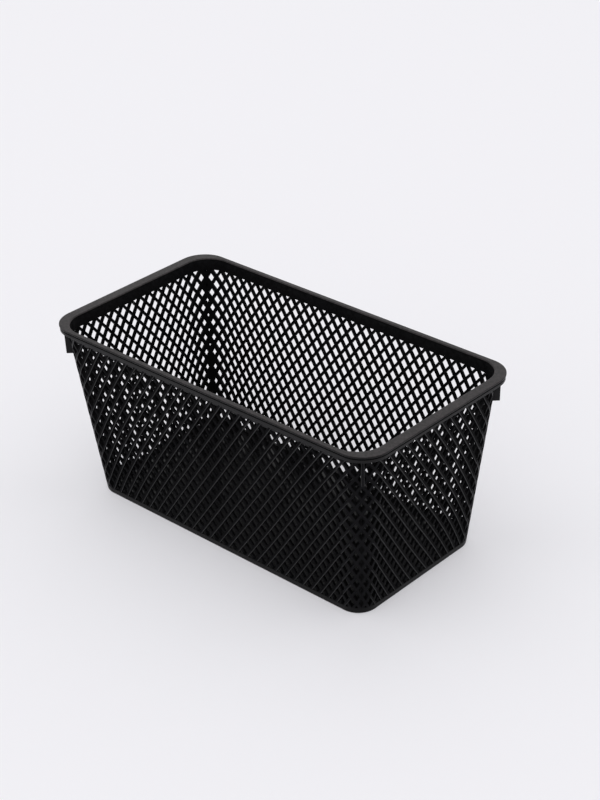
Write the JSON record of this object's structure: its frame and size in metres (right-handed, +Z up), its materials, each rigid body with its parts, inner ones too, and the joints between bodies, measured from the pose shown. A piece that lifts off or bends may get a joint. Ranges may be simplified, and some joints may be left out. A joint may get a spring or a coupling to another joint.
{
  "type": "storage basket",
  "caption": "Rectangular tapered black plastic mesh basket with a flat flanged rim, crossed diagonal ribs, open lattice corners, corner gussets and a solid floor.",
  "frame": {"origin": "centre of the ground face, on the ground", "axes": "+X along the long side, +Y along the short side, +Z up"},
  "size_m": [0.285, 0.15, 0.131],
  "materials": {
    "black_plastic": "moulded black plastic with a fine satin grain, a little smoother on the rim"
  },
  "bodies": {
    "root": {"back_inner_ribs": "black_plastic", "back_left_corner_gusset": "black_plastic", "back_left_corner_lattice": "black_plastic", "back_outer_ribs": "black_plastic", "back_right_corner_gusset": "black_plastic", "back_right_corner_lattice": "black_plastic", "floor_plate": "black_plastic", "foot_ring": "black_plastic", "front_inner_ribs": "black_plastic", "front_left_corner_gusset": "black_plastic", "front_left_corner_lattice": "black_plastic", "front_outer_ribs": "black_plastic", "front_right_corner_gusset": "black_plastic", "front_right_corner_lattice": "black_plastic", "left_inner_ribs": "black_plastic", "left_outer_ribs": "black_plastic", "right_inner_ribs": "black_plastic", "right_outer_ribs": "black_plastic", "rim_lip": "black_plastic", "rim_neck": "black_plastic", "rim_plate": "black_plastic", "upper_band": "black_plastic"}
  },
  "joints": []
}
